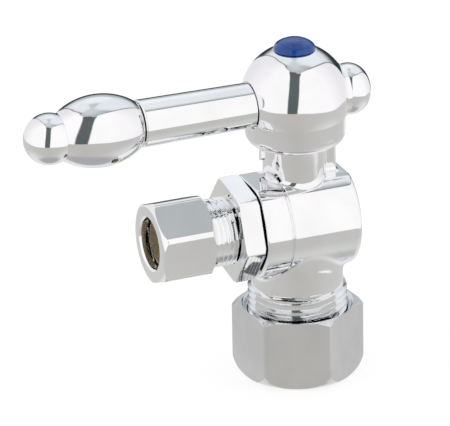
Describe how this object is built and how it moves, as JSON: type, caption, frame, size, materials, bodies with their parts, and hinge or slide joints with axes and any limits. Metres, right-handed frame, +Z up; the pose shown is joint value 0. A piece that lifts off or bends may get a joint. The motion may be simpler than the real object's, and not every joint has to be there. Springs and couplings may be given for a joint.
{
  "type": "angle stop valve",
  "caption": "Chrome quarter-turn angle stop valve: hex compression inlet below, smaller hex compression outlet to the side, lever handle with a blue button on top.",
  "frame": {"origin": "centre of the inlet nut's lower face, on the inlet axis", "axes": "+Z up along the inlet axis and the stem, +X out along the outlet, towards the outlet nut"},
  "size_m": [0.0748, 0.0272, 0.0733],
  "materials": {
    "chrome_plate": "bright chrome plate on polished brass",
    "bare_brass": "machined brass",
    "zinc_steel": "zinc-plated steel",
    "ptfe": "white sealing plastic",
    "nitrile_rubber": "black rubber",
    "blue_plastic": "glossy moulded plastic"
  },
  "bodies": {
    "valve_body": {"valve_body": "chrome_plate", "outlet_adapter": "chrome_plate", "adapter_o_ring": "nitrile_rubber", "outlet_seat": "ptfe", "rear_seat": "ptfe", "stem_thrust_washer": "ptfe"},
    "handle": {"handle_hub": "chrome_plate", "lever_arm": "chrome_plate", "lever_grip": "chrome_plate", "rear_finial": "chrome_plate", "index_button": "blue_plastic", "handle_screw": "zinc_steel", "screw_lock_washer": "zinc_steel", "stem": "bare_brass", "stem_o_ring_lower": "nitrile_rubber", "stem_o_ring_upper": "nitrile_rubber", "ball": "chrome_plate"},
    "inlet_ferrule": {"inlet_ferrule": "bare_brass"},
    "inlet_nut": {"inlet_nut": "chrome_plate"},
    "outlet_ferrule": {"outlet_ferrule": "bare_brass"},
    "outlet_nut": {"outlet_nut": "chrome_plate"}
  },
  "joints": [
    {"name": "handle_turn", "type": "hinge", "parent": "valve_body", "child": "handle", "pos_m": [0, 0, 0.0604], "axis": [0, 0, 1], "range_deg": [-90, 0]},
    {"name": "inlet_nut_travel", "type": "slide", "parent": "valve_body", "child": "inlet_ferrule", "axis": [0, 0, 1], "range_m": [-0.0057, 0.0008]},
    {"name": "inlet_nut_turn", "type": "hinge", "parent": "inlet_ferrule", "child": "inlet_nut", "pos_m": [0, 0, 0.0075], "axis": [0, 0, 1], "range_deg": [-1440, 180]},
    {"name": "outlet_nut_travel", "type": "slide", "parent": "valve_body", "child": "outlet_ferrule", "axis": [-1, 0, 0], "range_m": [-0.0043, 0.0006]},
    {"name": "outlet_nut_turn", "type": "hinge", "parent": "outlet_ferrule", "child": "outlet_nut", "pos_m": [0.027, 0, 0.0337], "axis": [-1, 0, 0], "range_deg": [-1440, 180]}
  ],
  "couplings": [
    {"joint": "inlet_nut_travel", "follows": "inlet_nut_turn", "m_per_rad": 0.0002246},
    {"joint": "outlet_nut_travel", "follows": "outlet_nut_turn", "m_per_rad": 0.0001684}
  ]
}
